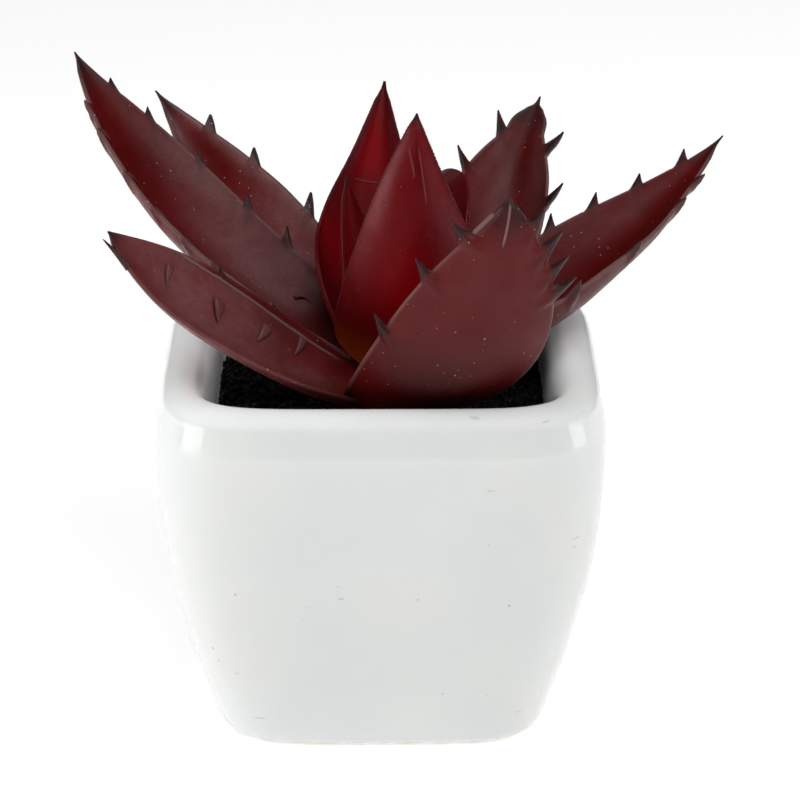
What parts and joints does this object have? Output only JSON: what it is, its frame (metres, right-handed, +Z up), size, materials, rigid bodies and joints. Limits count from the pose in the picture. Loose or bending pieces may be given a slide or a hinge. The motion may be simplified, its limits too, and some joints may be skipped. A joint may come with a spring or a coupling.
{
  "type": "potted agave",
  "caption": "Small decorative agave rosette with channelled burgundy leaves and hooked marginal teeth, set in dark granular soil in a white glazed rounded-square pot.",
  "frame": {"origin": "centre of the pot's flat base", "axes": "+Z up, the pot's front face towards -Y, +X to the right of the front"},
  "size_m": [0.1151, 0.1042, 0.1086],
  "materials": {
    "glaze": "glossy white glaze",
    "soil": "loose black granules",
    "stem": "satin",
    "inner_leaf": "satin, slightly translucent crimson",
    "leaf": "satin burgundy with darker tips and teeth"
  },
  "bodies": {
    "root": {"pot": "glaze", "soil": "soil", "stem": "stem", "inner_leaf_front": "inner_leaf", "inner_leaf_back": "inner_leaf", "inner_leaf_small": "inner_leaf", "leaf_front_right": "leaf", "leaf_front_left": "leaf", "leaf_left": "leaf", "leaf_right": "leaf", "leaf_back_right": "leaf", "leaf_back_left": "leaf", "leaf_back": "leaf"}
  },
  "joints": []
}
